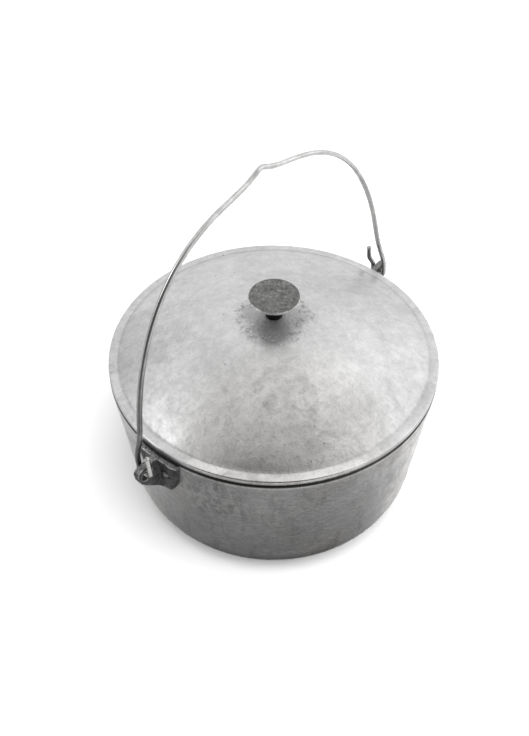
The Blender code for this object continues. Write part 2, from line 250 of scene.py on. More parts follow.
class Metal:
    """A Principled metal whose sockets are fed by small procedural layers in object space."""

    def __init__(self, name):
        self.material = bpy.data.materials.new(name)
        self.material.use_nodes = True
        self.tree = self.material.node_tree
        self.shader = self.tree.nodes["Principled BSDF"]
        self.shader.inputs["Metallic"].default_value = 1.0
        self.place = self.node("ShaderNodeTexCoord").outputs["Object"]

    def node(self, kind, **settings):
        made = self.tree.nodes.new(kind)
        for key, value in settings.items():
            setattr(made, key, value)
        return made

    def put(self, socket, value):
        if isinstance(value, bpy.types.NodeSocket):
            self.tree.links.new(value, socket)
        else:
            socket.default_value = value

    def math(self, operation, a, b=0.0, clamp=False):
        made = self.node("ShaderNodeMath", operation=operation, use_clamp=clamp)
        self.put(made.inputs[0], a)
        self.put(made.inputs[1], b)
        return made.outputs[0]

    def noise(self, scale, detail=3.0, rough=0.55, distortion=0.0, place=None):
        made = self.node("ShaderNodeTexNoise")
        self.put(made.inputs["Vector"], place or self.place)
        made.inputs["Scale"].default_value = scale
        made.inputs["Detail"].default_value = detail
        made.inputs["Roughness"].default_value = rough
        made.inputs["Distortion"].default_value = distortion
        return made.outputs["Fac"]

    def cells(self, scale, place=None):
        made = self.node("ShaderNodeTexVoronoi", feature="F1")
        self.put(made.inputs["Vector"], place or self.place)
        made.inputs["Scale"].default_value = scale
        return made.outputs["Distance"]

    def spread(self, value, low, high, out_low=0.0, out_high=1.0):
        """Maps low..high to out_low..out_high, held at both ends, smoothly."""
        made = self.node("ShaderNodeMapRange", interpolation_type="SMOOTHSTEP")
        self.put(made.inputs["Value"], value)
        for key, number in zip(("From Min", "From Max", "To Min", "To Max"), (low, high, out_low, out_high)):
            made.inputs[key].default_value = number
        return made.outputs["Result"]

    def combine(self, x, y, z):
        made = self.node("ShaderNodeCombineXYZ")
        for socket, value in zip(made.inputs, (x, y, z)):
            self.put(socket, value)
        return made.outputs[0]

    def axes(self):
        made = self.node("ShaderNodeSeparateXYZ")
        self.put(made.inputs[0], self.place)
        return made.outputs[0], made.outputs[1], made.outputs[2]

    def polar(self):
        """Distance from the Z axis, angle about it and height."""
        x, y, z = self.axes()
        squares = self.math("ADD", self.math("MULTIPLY", x, x), self.math("MULTIPLY", y, y))
        radius = self.math("SQRT", squares)
        return radius, self.math("ARCTAN2", y, x), z

    def near(self, point, inner, outer):
        """1 within the inner distance of a point of the object, fading to 0 at the outer one."""
        made = self.node("ShaderNodeVectorMath", operation="DISTANCE")
        self.put(made.inputs[0], self.place)
        self.put(made.inputs[1], point)
        return self.spread(made.outputs["Value"], inner, outer, 1.0, 0.0)

    def painted(self, attribute):
        """A value stored on the mesh's points."""
        return self.node("ShaderNodeAttribute", attribute_name=attribute).outputs["Fac"]

    def facing_up(self):
        made = self.node("ShaderNodeSeparateXYZ")
        self.put(made.inputs[0], self.node("ShaderNodeTexCoord").outputs["Normal"])
        return made.outputs[2]

    def times(self, value, factor):
        return self.math("MULTIPLY", value, factor)

    def darken(self, grey, mask, amount):
        """grey * (1 - amount * mask)"""
        return self.math("MULTIPLY", grey, self.math("SUBTRACT", 1.0, self.math("MULTIPLY", mask, amount)))

    def tint(self, grey, red=1.0, green=1.0, blue=1.0):
        made = self.node("ShaderNodeCombineColor")
        for socket, factor in zip(made.inputs, (red, green, blue)):
            self.put(socket, self.math("MULTIPLY", grey, factor, clamp=True))
        return made.outputs[0]

    def warm(self, grey, warmth):
        """Grey turned slightly brown where warmth is above 0, and slightly blue below it."""
        made = self.node("ShaderNodeCombineColor")
        for socket, weight in zip(made.inputs, (1.0, -0.15, -1.0)):
            factor = self.math("ADD", 1.0, self.times(warmth, weight))
            self.put(socket, self.math("MULTIPLY", grey, factor, clamp=True))
        return made.outputs[0]

    def bump(self, height, distance, strength=1.0, below=None):
        made = self.node("ShaderNodeBump")
        made.inputs["Strength"].default_value = strength
        made.inputs["Distance"].default_value = distance
        self.put(made.inputs["Height"], height)
        if below is not None:
            self.put(made.inputs["Normal"], below)
        return made.outputs["Normal"]

    def finish(self, colour, roughness, normal=None):
        self.put(self.shader.inputs["Base Color"], colour)
        self.put(self.shader.inputs["Roughness"], roughness)
        if normal is not None:
            self.put(self.shader.inputs["Normal"], normal)
        return self.material


def dress(item, material):
    item.data.materials.clear()
    item.data.materials.append(material)


# ---------------------------------------------------------------- materials


def shade(m, grey, layers):
    """grey times one more factor for each (value, least, most) layer, value running from 0 to 1."""
    for value, least, most in layers:
        grey = m.math("MULTIPLY", grey, m.spread(value, 0.28, 0.72, least, most))
    return grey


def hairlines(m, turn, across, along):
    """Fine straight scratches that run in one direction of the XY plane, as a 0 to 1 mask."""
    x, y, z = m.axes()
    c, s = math.cos(math.radians(turn)), math.sin(math.radians(turn))
    forth = m.math("ADD", m.times(x, c), m.times(y, s))
    side = m.math("ADD", m.times(x, -s), m.times(y, c))
    place = m.combine(m.times(forth, along), m.times(side, across), m.times(z, along))
    line = m.spread(m.noise(1.0, 2.0, 0.5, 0.15, place), 0.655, 0.70)
    return m.math("MULTIPLY", line, m.spread(m.noise(24.0, 2.0), 0.48, 0.62))


FRONT_STAIN = (-0.0950, -0.0930, 0.1830)
LEFT_STAIN = (-0.1230, 0.0700, 0.1800)
KNOB_STAIN = (-0.0160, -0.0130, CROWN)


def lid_material():
    m = Metal("lid_satin")
    radius, angle, height = m.polar()
    clouds = m.noise(11.0, 4.0, 0.55, 0.6)
    stains = m.noise(34.0, 5.0, 0.68, 1.2)
    mottle = m.noise(120.0, 5.0, 0.7, 0.5)
    speckle = m.noise(330.0, 4.0, 0.7)
    grain = m.noise(950.0, 3.0, 0.6)
    front = m.near(FRONT_STAIN, 0.045, 0.125)
    left = m.near(LEFT_STAIN, 0.03, 0.11)
    dirty = m.math("ADD", m.times(front, 0.85), m.times(left, 0.6), clamp=True)
    blotches = m.math("MULTIPLY", m.spread(m.noise(26.0, 5.0, 0.7, 1.5), 0.47, 0.62), dirty)
    specks = m.math("MULTIPLY", m.spread(m.noise(210.0, 4.0, 0.75, 0.8), 0.53, 0.66), dirty)
    brushed = m.noise(1.0, 4.0, 0.65, 0.25, m.combine(m.times(angle, 26.0), m.times(radius, 60.0), 0.3))
    brushed = m.math("MULTIPLY", m.spread(brushed, 0.50, 0.70), m.spread(radius, 0.07, 0.12))
    scratches = m.math("ADD", hairlines(m, 24.0, 900.0, 16.0), hairlines(m, 118.0, 760.0, 13.0))
    pits = m.math(
        "MULTIPLY", m.spread(m.cells(85.0), 0.06, 0.10, 1.0, 0.0), m.spread(m.noise(19.0, 2.0), 0.54, 0.60)
    )
    wander = m.math("SUBTRACT", m.noise(60.0, 5.0, 0.7), 0.5)
    reach = m.math("ADD", radius, m.times(wander, 0.034))
    patch = m.spread(reach, 0.0190, 0.0375, 1.0, 0.0)
    ring = m.math("MULTIPLY", m.spread(reach, 0.022, 0.028), m.spread(reach, 0.032, 0.040, 1.0, 0.0))
    ring = m.math("MULTIPLY", ring, m.spread(m.noise(210.0, 4.0, 0.75), 0.46, 0.60))
    smudge = m.near(KNOB_STAIN, 0.006, 0.024)
    flange = m.spread(radius, DOME_RADIUS - 0.0004, DOME_RADIUS + 0.0012)
    worn = m.math("MULTIPLY", flange, m.spread(m.noise(17.0, 3.0, 0.6, 0.5), 0.40, 0.55))
    worn = m.math("MULTIPLY", worn, m.near(FRONT_STAIN, 0.07, 0.16))
    seam_reach = m.math("ADD", radius, m.times(m.math("SUBTRACT", stains, 0.5), 0.0016))
    seam = m.math(
        "MULTIPLY", m.spread(seam_reach, 0.1486, 0.1504), m.spread(seam_reach, 0.1508, 0.1530, 1.0, 0.0)
    )
    # painted reflection: the flange is darkened below its top face, over the rounded rim and the edge face
    edge = m.math("MULTIPLY", flange, m.spread(height, FLANGE_HIGH - 0.0014, FLANGE_HIGH - 0.0004, 1.0, 0.0))
    shadow = m.math("MULTIPLY", flange, m.spread(height, FLANGE_LOW + 0.0003, FLANGE_LOW + 0.0018, 1.0, 0.0))
    layers = [(clouds, 1.06, 0.93), (stains, 1.06, 0.91), (mottle, 1.07, 0.93), (speckle, 1.06, 0.94)]
    grey = shade(m, 0.800, layers)
    for mask, amount in (
        (brushed, 0.10),
        (blotches, 0.20),
        (specks, 0.24),
        (pits, 0.50),
        (seam, 0.20),
        (patch, 0.15),
        (ring, 0.42),
        (smudge, 0.34),
    ):
        grey = m.darken(grey, mask, amount)
    grey = m.math("ADD", grey, m.times(worn, 0.16))
    grey = m.math("ADD", grey, m.times(scratches, 0.05))
    grey = m.darken(grey, edge, 0.22)
    grey = m.darken(grey, shadow, 0.52)
    rough = m.spread(clouds, 0.3, 0.7, 0.34, 0.41)
    rough = m.math("ADD", rough, m.times(m.math("SUBTRACT", mottle, 0.5), 0.22))
    rough = m.math("ADD", rough, m.times(patch, 0.14))
    rough = m.math("SUBTRACT", rough, m.times(worn, 0.16))
    surface = m.bump(m.math("ADD", grain, speckle), 0.00008, 0.5)
    surface = m.bump(mottle, 0.0003, 0.45, surface)
    surface = m.bump(m.math("MULTIPLY", dirty, m.noise(240.0, 4.0, 0.7, 0.6)), 0.0005, 0.6, surface)
    surface = m.bump(m.math("MULTIPLY", patch, m.noise(300.0, 4.0, 0.75)), 0.0024, 1.0, surface)
    brown = m.math("MULTIPLY", front, 0.016)
    return m.finish(m.warm(grey, brown), rough, surface)


def pot_material():
    m = Metal("pot_satin")
    radius, angle, height = m.polar()
    clouds = m.noise(13.0, 4.0, 0.55, 0.6)
    stains = m.noise(38.0, 5.0, 0.68, 1.2)
    mottle = m.noise(125.0, 5.0, 0.7, 0.5)
    speckle = m.noise(330.0, 4.0, 0.7)
    grain = m.noise(900.0, 3.0, 0.6)
    turning = m.noise(1.0, 3.0, 0.6, 0.0, m.combine(m.times(height, 900.0), m.times(angle, 5.0), 0.0))
    runs = m.noise(1.0, 4.0, 0.68, 0.6, m.combine(m.times(angle, 15.0), m.times(height, 22.0), 0.7))
    smear = m.noise(1.0, 4.0, 0.7, 0.8, m.combine(m.times(angle, 22.0), m.times(height, 60.0), 3.1))
    near_ear = m.near((-0.1550, -0.0480, 0.1300), 0.018, 0.060)
    # painted shade: the wall is darkened towards the bottom, fading out by about 15 cm, with a ragged top
    # edge
    lower_wall_shade = m.math("ADD", height, m.times(m.math("SUBTRACT", stains, 0.5), 0.05))
    # painted highlight: a thin light line round the wall a few millimetres under the rim
    rim_highlight = m.math(
        "MULTIPLY",
        m.spread(height, RIM_HEIGHT - 0.0054, RIM_HEIGHT - 0.0046),
        m.spread(height, RIM_HEIGHT - 0.0042, RIM_HEIGHT - 0.0034, 1.0, 0.0),
    )
    # painted shadow under the lid's flange: the top few millimetres of the pot, rim included, darkened
    rim_shadow = m.spread(height, RIM_HEIGHT - 0.0036, RIM_HEIGHT - 0.0022)
    layers = [(clouds, 1.08, 0.93), (stains, 1.08, 0.87), (mottle, 1.10, 0.89), (speckle, 1.07, 0.93)]
    grey = shade(m, 0.620, layers)
    for mask, amount in (
        (m.spread(runs, 0.50, 0.68), 0.17),
        (m.math("MULTIPLY", m.spread(smear, 0.44, 0.60), near_ear), 0.30),
        (m.spread(lower_wall_shade, 0.0, 0.150, 1.0, 0.0), 0.38),
    ):
        grey = m.darken(grey, mask, amount)
    grey = m.math("ADD", grey, m.times(m.spread(turning, 0.56, 0.72), 0.04))
    grey = m.math("ADD", grey, m.times(rim_highlight, 0.20))
    grey = m.darken(grey, rim_shadow, 0.86)
    rough = m.spread(stains, 0.3, 0.7, 0.38, 0.50)
    rough = m.math("ADD", rough, m.times(m.math("SUBTRACT", mottle, 0.5), 0.20))
    surface = m.bump(m.math("ADD", m.math("ADD", grain, speckle), m.times(turning, 0.7)), 0.00011, 0.6)
    surface = m.bump(mottle, 0.0010, 0.55, surface)
    warmth = m.spread(m.noise(9.0, 3.0, 0.6, 0.8), 0.3, 0.7, -0.004, 0.022)
    return m.finish(m.warm(grey, warmth), rough, surface)


def knob_material():
    m = Metal("knob_cast")
    radius, _, height = m.polar()
    speckle = m.noise(430.0, 4.0, 0.75)
    coarse = m.noise(240.0, 4.0, 0.7)
    blotch = m.noise(110.0, 4.0, 0.6, 0.5)
    edge = m.math("ADD", radius, m.times(m.math("SUBTRACT", blotch, 0.5), 0.0012))
    worn = m.math(
        "MULTIPLY",
        m.spread(edge, KNOB_RADIUS - 0.0012, KNOB_RADIUS - 0.0005),
        m.spread(height, knob_high.z - 0.0036, knob_high.z - 0.0028),
    )
    # painted shade: the knob is darkened under the top of its rim, on the rim's underside and the stem
    below = m.spread(height, knob_high.z - 0.0042, knob_high.z - 0.0034, 1.0, 0.0)
    grey = shade(m, 0.268, [(speckle, 0.60, 1.42), (coarse, 0.66, 1.36), (blotch, 0.90, 1.10)])
    grey = m.darken(grey, below, 0.90)
    grey = m.math("ADD", grey, m.times(worn, 0.66))
    rough = m.math("SUBTRACT", m.spread(coarse, 0.3, 0.7, 0.44, 0.60), m.times(worn, 0.22))
    surface = m.bump(speckle, 0.0009, 0.8)
    surface = m.bump(coarse, 0.0022, 0.8, surface)
    return m.finish(m.tint(grey, 1.0, 0.994, 0.978), rough, surface)


def ear_material():
    m = Metal("ear_cast")
    speckle = m.noise(560.0, 4.0, 0.75)
    blotch = m.noise(170.0, 4.0, 0.65)
    ragged = m.times(m.math("SUBTRACT", blotch, 0.5), 0.5)
    worn = m.spread(m.math("ADD", m.painted("edge_wear"), ragged), 0.30, 0.62)
    # painted light: faces turned upwards made lighter, in speckles
    top_light = m.math("MULTIPLY", m.spread(m.facing_up(), 0.30, 0.80), m.spread(speckle, 0.34, 0.62))
    grey = shade(m, 0.150, [(speckle, 0.50, 1.60), (blotch, 0.65, 1.35)])
    grey = m.math("ADD", grey, m.times(top_light, 0.26))
    grey = m.math("ADD", grey, m.times(worn, 0.52))
    # painted shadow: a dark ring round each rivet head
    grey = m.darken(grey, m.painted("rivet_ring_shadow"), 0.92)
    rough = m.math("SUBTRACT", m.spread(speckle, 0.3, 0.7, 0.46, 0.62), m.times(worn, 0.10))
    surface = m.bump(speckle, 0.0006, 0.7)
    surface = m.bump(blotch, 0.0010, 0.6, surface)
    return m.finish(m.tint(grey, 1.0, 0.99, 0.985), rough, surface)


def rivet_material():
    m = Metal("rivet_dull")
    speckle = m.noise(700.0, 4.0, 0.7)
    blotch = m.noise(240.0, 3.0, 0.6)
    grey = shade(m, 0.42, [(speckle, 0.6, 1.4), (blotch, 0.6, 1.5)])
    surface = m.bump(m.math("ADD", speckle, m.times(blotch, 1.5)), 0.0006, 0.7)
    return m.finish(m.tint(grey, 1.0, 0.99, 0.98), m.spread(speckle, 0.3, 0.7, 0.36, 0.52), surface)


def wire_material():
    m = Metal("bail_wire_drawn")
    along = m.painted("wire_along")
    around = m.node("ShaderNodeAttribute", attribute_name="wire_around").outputs["Vector"]
    split = m.node("ShaderNodeSeparateXYZ")
    m.put(split.inputs[0], around)
    lengthwise = m.combine(
        m.times(split.outputs[0], 3.0), m.times(split.outputs[1], 3.0), m.times(along, 40.0)
    )
    drawn = m.noise(1.0, 3.0, 0.6, 0.0, lengthwise)
    scuffs = m.noise(85.0, 5.0, 0.65, 0.5)
    grain = m.noise(900.0, 3.0, 0.6)
    x, y, z = m.axes()
    # painted light and shade: the wire stays bright high on the arch, towards +X and at -Y, and is darkened
    # to about a quarter elsewhere, down the legs
    upper = m.spread(z, PIVOT_HEIGHT + 0.020, PIVOT_HEIGHT + 0.170)
    wire_light_and_shade = m.math("MAXIMUM", upper, m.spread(x, -0.06, 0.08, 0.0, 0.62))
    wire_light_and_shade = m.math("MAXIMUM", wire_light_and_shade, m.spread(y, -0.004, 0.004, 0.85, 0.0))
    grey = shade(m, 0.72, [(drawn, 0.84, 1.16), (scuffs, 1.12, 0.80), (grain, 0.97, 1.03)])
    grey = m.math("MULTIPLY", grey, m.math("ADD", 0.24, m.times(wire_light_and_shade, 0.84)))
    rough = m.spread(scuffs, 0.3, 0.7, 0.17, 0.30)
    surface = m.bump(m.math("ADD", drawn, m.times(grain, 0.6)), 0.00010, 0.5)
    return m.finish(m.tint(grey, 1.0, 0.997, 0.99), rough, surface)


def fixing_material():
    m = Metal("zinc_fixing")
    patina = m.noise(300.0, 4.0, 0.6)
    fine = m.noise(1400.0, 2.0, 0.5)
    grey = m.spread(m.math("ADD", patina, m.times(fine, 0.4)), 0.45, 0.95, 0.48, 0.68)
    surface = m.bump(fine, 0.00005, 0.5)
    return m.finish(m.tint(grey, 0.98, 0.99, 1.0), m.spread(patina, 0.3, 0.7, 0.28, 0.42), surface)


# ---------------------------------------------------------------- pot


def cast_wave(point, reach, scale):
    """A gentle inward unevenness, from 0 to reach."""
    value = 0.5 + 0.5 * noise.noise(point * scale) + 0.25 * noise.noise(point * scale * 2.7)
    return reach * min(max(value, 0.0), 1.0)


def make_pot():
    across_wall = WALL / math.cos(WALL_TAPER)
    inner_rim = wall_radius(RIM_HEIGHT) - across_wall
    round_z = RIM_HEIGHT - RIM_OUTER_ROUND
    tangent_z = round_z - RIM_OUTER_ROUND * math.sin(WALL_TAPER)
    round_r = wall_radius(tangent_z) - RIM_OUTER_ROUND * math.cos(WALL_TAPER)
    profile = [(0.0, WALL)]
    profile += arc(BASE_FLAT_RADIUS, CORNER_RADIUS, CORNER_RADIUS - WALL, -math.pi / 2, -WALL_TAPER, 16)
    profile += arc(
        inner_rim + RIM_INNER_ROUND, RIM_HEIGHT - RIM_INNER_ROUND, RIM_INNER_ROUND, math.pi, math.pi / 2, 4
    )
    profile += arc(round_r, round_z, RIM_OUTER_ROUND, math.pi / 2, -WALL_TAPER, 10)
    profile += arc(BASE_FLAT_RADIUS, CORNER_RADIUS, CORNER_RADIUS, -WALL_TAPER, -math.pi / 2, 20)
    profile += [(0.0, 0.0)]

    def uneven(point):
        radius = math.hypot(point.x, point.y)
        outside = radius > wall_radius(point.z) - 0.001 and point.z < RIM_HEIGHT - 0.012
        if not outside:
            return point
        shrink = 1.0 - cast_wave(point, 0.00025, 22.0) * smoothstep(0.0, 0.02, point.z) / radius
        return Vector((point.x * shrink, point.y * shrink, point.z))

    pot = turned("pot_shell", fill_in(profile, 0.006), TURN_STEPS, move=uneven)
    holes = [rivet_frame(ear, side) for ear in EARS.values() for side in RIVET_SIDES.values()]
    cut(pot, cylinders("pot_rivet_holes", RIVET_HOLE_RADIUS, 4 * WALL, holes))
    pot.data.shade_smooth()
    pot.data.set_sharp_from_angle(angle=math.radians(40.0))
    dress(pot, pot_material())
    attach(pot, "pot")
    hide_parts("kettle_body")


# ---------------------------------------------------------------- lid


def dome_height(radius, sphere):
    return DOME_CENTRE + math.sqrt(sphere**2 - radius**2)


def make_lid():
    inner_sphere = DOME_SPHERE - LID_WALL
    spot_face = dome_height(SPOT_FACE_RADIUS, inner_sphere)
    lip_inner = LIP_RADIUS - LIP_WIDTH
    top = []
    steps = 64
    for step in range(steps + 1):
        radius = LID_HOLE_RADIUS + 0.0004 + (DOME_RADIUS - LID_HOLE_RADIUS - 0.0004) * step / steps
        height = dome_height(radius, DOME_SPHERE)
        sag = smoothstep(DOME_RADIUS - DOME_ROLL, DOME_RADIUS, radius) * DOME_SAG
        top.append((radius, max(height - sag, FLANGE_HIGH)))
    profile = [(LID_HOLE_RADIUS, spot_face), (LID_HOLE_RADIUS, top[0][1] - 0.0004)]
    profile += top
    profile += [(DOME_RADIUS + 0.0006, FLANGE_HIGH - 0.00015), (DOME_RADIUS + 0.0013, FLANGE_HIGH)]
    profile += arc(LID_RADIUS - 0.0014, FLANGE_HIGH - 0.0014, 0.0014, math.pi / 2, 0.0, 6)
    profile += arc(LID_RADIUS - 0.001, FLANGE_LOW + 0.001, 0.001, 0.0, -math.pi / 2, 5)
    profile += [(LIP_RADIUS + 0.0004, FLANGE_LOW), (LIP_RADIUS, FLANGE_LOW - 0.0004)]
    profile += arc(LIP_RADIUS - 0.0006, FLANGE_LOW - LIP_DEPTH + 0.0006, 0.0006, 0.0, -math.pi / 2, 3)
    profile += arc(lip_inner + 0.0006, FLANGE_LOW - LIP_DEPTH + 0.0006, 0.0006, -math.pi / 2, -math.pi, 3)
    under = 40
    for step in range(under + 1):
        radius = lip_inner - 0.0005 + (SPOT_FACE_RADIUS - lip_inner + 0.0005) * step / under
        profile.append((radius, dome_height(radius, inner_sphere)))

    def uneven(point):
        radius = math.hypot(point.x, point.y)
        if radius > DOME_RADIUS - DOME_ROLL or radius < SPOT_FACE_RADIUS:
            return point
        fade = smoothstep(SPOT_FACE_RADIUS, 0.03, radius) * smoothstep(DOME_RADIUS - DOME_ROLL, 0.12, radius)
        return Vector((point.x, point.y, point.z - fade * cast_wave(point, 0.0005, 16.0)))

    lid = turned("lid_shell", profile, TURN_STEPS, closed=True, move=uneven, sharp_degrees=50.0)
    dress(lid, lid_material())
    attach(lid, "lid")
    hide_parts("lid")


def make_knob():
    top = knob_high.z
    outline = [
        (0.0, 0.0),
        (0.0090, 0.0),
        (0.0180, 0.0001),
        (0.0226, 0.0003),
        (0.0238, 0.0006),
        (0.02435, 0.0012),
        (KNOB_RADIUS, 0.0019),
        (KNOB_RADIUS, 0.0026),
        (0.0243, 0.0032),
        (0.0236, 0.0037),
        (0.0210, 0.0047),
        (0.0180, 0.0058),
        (0.0150, 0.0073),
        (0.0125, 0.0091),
        (0.0106, 0.0112),
        (0.0092, 0.0137),
        (0.0083, 0.0160),
        (0.0080, 0.0185),
        (0.0080, 0.0215),
        (0.0083, top - knob_low.z - 0.0004),
        (0.0079, top - knob_low.z),
        (0.0033, top - knob_low.z),
        (0.0033, top - knob_low.z - 0.0165),
        (0.0, top - knob_low.z - 0.0180),
    ]
    profile = fill_in([(radius, top - depth) for radius, depth in outline], 0.0012)

    def rough_cast(point):
        radius = math.hypot(point.x, point.y)
        if radius < 0.004:
            return point
        rim = smoothstep(0.02, KNOB_RADIUS, radius)
        lumps = 0.5 + 0.5 * noise.noise(Vector((point.x, point.y, 0.0)) * 95.0)
        shrink = 1.0 - (0.0007 * lumps * rim + 0.00012) / radius
        drop = 0.00022 * (0.5 + 0.5 * noise.noise(point * 230.0))
        if point.z < top - 0.005:
            drop = 0.0
        return Vector((point.x * shrink, point.y * shrink, point.z - drop))

    knob = turned("knob_casting", profile, 128, move=rough_cast, sharp_degrees=60.0)
    dress(knob, knob_material())
    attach(knob, "lid")
    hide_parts("lid_knob")


def make_fixing():
    steel = fixing_material()
    washer_hole = 0.0033
    edge = 0.0002
    profile = [
        (washer_hole, washer_low.z + edge),
        (washer_hole, washer_high.z - edge),
        (washer_hole + edge, washer_high.z),
        (washer_high.x - edge, washer_high.z),
        (washer_high.x, washer_high.z - edge),
        (washer_high.x, washer_low.z + edge),
        (washer_high.x - edge, washer_low.z),
        (washer_hole + edge, washer_low.z),
    ]
    washer = turned("washer_ring", profile, 96, closed=True)
    dress(washer, steel)
    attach(washer, "lid")
    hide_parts("knob_washer")

    head = screw_high.x
    head_low = screw_low.z
    head_top = washer_low.z - GAP
    shank = 0.003
    pitch = 0.001
    profile = [(0.0, screw_high.z), (shank - 0.0007, screw_high.z)]
    turns = int((screw_high.z - head_top - 0.003) / pitch)
    for turn in range(turns):
        z = screw_high.z - 0.0006 - turn * pitch
        profile += [(shank, z), (shank - 0.0005, z - 0.5 * pitch)]
    profile += [(shank, head_top + 0.0012), (shank, head_top), (head - 0.0003, head_top)]
    profile += [(head, head_top - 0.0003), (head, head_low + 0.0017)]
    profile += [(head - 0.0003, head_low + 0.0011), (head - 0.0010, head_low + 0.0005)]
    profile += [(head - 0.0022, head_low + 0.0001), (0.0, head_low)]
    screw = turned("screw_body", profile, 64, sharp_degrees=30.0)
    slot_work = bmesh.new()
    bmesh.ops.create_cube(
        slot_work, size=1.0,
        matrix=Matrix.Translation((0.0, 0.0, head_low)) @ Matrix.Diagonal((0.02, 0.0012, 0.0024, 1.0)),
    )
    cut(screw, new_from("slot", slot_work))
    screw.data.shade_smooth()
    screw.data.set_sharp_from_angle(angle=math.radians(30.0))
    dress(screw, steel)
    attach(screw, "lid")
    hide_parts("knob_screw")


# ---------------------------------------------------------------- ears and rivets


def wing_thickness(share):
    """A pad near each end, a shallow dip inside it, and a rounded end, across from -1 to 1."""
    end = abs(share)
    pad = smoothstep(0.54, 0.72, end)
    into_round = min(max((end - 0.80) / 0.20, 0.0), 1.0)
    rounding = 1.0 - math.sqrt(1.0 - into_round**2)
    return WING_DIP_THICKNESS + WING_PAD * pad - WING_END_DROP * rounding


def wing_half_width(height):
    return WING_HALF_WIDTH + WING_FLARE * (height - WING_SHOULDER)


def wing_edges(share):
    """Heights of the wing's lower and upper edge, share running from -1 to 1 across the wing."""
    depth = max(1.0 - abs(share) ** WING_LOW_POWER, 0.0) ** (1.0 / WING_LOW_POWER)
    low = WING_SHOULDER - (WING_SHOULDER - WING_LOW - 0.0002) * depth
    high = WING_HIGH - 0.0003
    into_corner = WING_HIGH_ROUND - (1.0 - abs(share)) * wing_half_width(WING_HIGH)
    if into_corner > 0.0:
        high -= WING_HIGH_ROUND - math.sqrt(max(WING_HIGH_ROUND**2 - into_corner**2, 0.0))
    return low, high


def ear_blank():
    """Wing and lug of the ear at +X, as closed shells that overlap."""
    work = bmesh.new()
    columns, rows = 52, 6
    grids = {0: [], 1: []}
    for column in range(columns + 1):
        share = -math.cos(math.pi * column / columns)
        low, high = wing_edges(share)
        for side in (0, 1):
            strip = []
            for row in range(rows + 1):
                z = low + (high - low) * row / rows
                y = share * wing_half_width(z)
                radius = wall_radius(z) + GAP + 0.0001 + side * wing_thickness(share)
                strip.append(work.verts.new((math.sqrt(radius**2 - y**2), y, z)))
            grids[side].append(strip)
    for column in range(columns):
        for row in range(rows):
            for side in (0, 1):
                a, b = grids[side][column], grids[side][column + 1]
                work.faces.new((a[row], b[row], b[row + 1], a[row + 1]))
        for row in (0, rows):
            a0, a1 = grids[0][column][row], grids[1][column][row]
            b0, b1 = grids[0][column + 1][row], grids[1][column + 1][row]
            work.faces.new((a0, a1, b1, b0))
    for column in (0, columns):
        for row in range(rows):
            inner, outer = grids[0][column], grids[1][column]
            work.faces.new((inner[row], inner[row + 1], outer[row + 1], outer[row]))
    bmesh.ops.recalc_face_normals(work, faces=work.faces)
    wing = new_from("wing_blank", work)

    half = LUG_THICKNESS / 2
    root = GAP + 0.0016
    foot = 0.0055  # how far the lug's root spreads along the wing
    outline = [
        (wall_radius(LUG_TOP) + root, LUG_TOP),
        (wall_radius(LUG_LOW) + root, LUG_LOW),
        (0.1640, 0.1227),
        (0.1690, 0.1284),
        (0.1745, 0.1343),
        (0.1807, 0.1406),
        (0.1855, 0.1466),
        (0.1876, 0.1526),
        (LUG_END, 0.1586),
        (LUG_END, LUG_TOP - 0.0040),
        (LUG_END - 0.0012, LUG_TOP - 0.0013),
        (LUG_END - 0.0040, LUG_TOP),
    ]
    work = bmesh.new()
    face = work.faces.new([work.verts.new((x, -half, z)) for x, z in outline])
    grown = bmesh.ops.extrude_face_region(work, geom=[face])
    moved = [part for part in grown["geom"] if isinstance(part, bmesh.types.BMVert)]
    bmesh.ops.translate(work, verts=moved, vec=(0.0, LUG_THICKNESS, 0.0))
    bmesh.ops.recalc_face_normals(work, faces=work.faces)
    lug = new_from("lug_blank", work)
    cut(wing, lug, "UNION")

    # a fillet wedge on each side of the lug's root
    for side in (-1.0, 1.0):
        work = bmesh.new()
        rings = []
        for z in (LUG_LOW - 0.0015, WING_HIGH - 0.0015):
            back = wall_radius(z) + GAP + 0.0012
            face_x = wall_radius(z) + GAP + 0.0044
            ring = [(back, side * (half - 0.001)), (back, side * (half + foot * 0.5))]
            for step in range(7):
                turn = math.pi / 2 * step / 6
                along = half + foot * 0.5 * (1.0 - math.sin(turn))
                out = face_x + foot * 0.5 * (1.0 - math.cos(turn))
                ring.append((out, side * along))
            ring.append((face_x + foot * 0.5, side * (half - 0.001)))
            rings.append([work.verts.new((x, y, z)) for x, y in ring])
        count = len(rings[0])
        for i in range(count):
            j = (i + 1) % count
            work.faces.new((rings[0][i], rings[0][j], rings[1][j], rings[1][i]))
        work.faces.new(rings[0])
        work.faces.new(rings[1][::-1])
        bmesh.ops.recalc_face_normals(work, faces=work.faces)
        cut(wing, new_from("fillet", work), "UNION")

    along_y = Matrix.Rotation(math.pi / 2, 4, "X")
    eye = Matrix.Translation((EYE_OFFSET, 0.0, EYE_HEIGHT)) @ along_y
    cut(wing, cylinders("eye", EYE_RADIUS + 0.0003, 3 * LUG_THICKNESS, [eye]))
    return wing


def point_to_axis(point, axis_frame):
    """Distance of a point from the Z axis of a frame."""
    local = axis_frame.inverted() @ point
    return math.hypot(local.x, local.y)


EAR_VOXEL = 0.00055


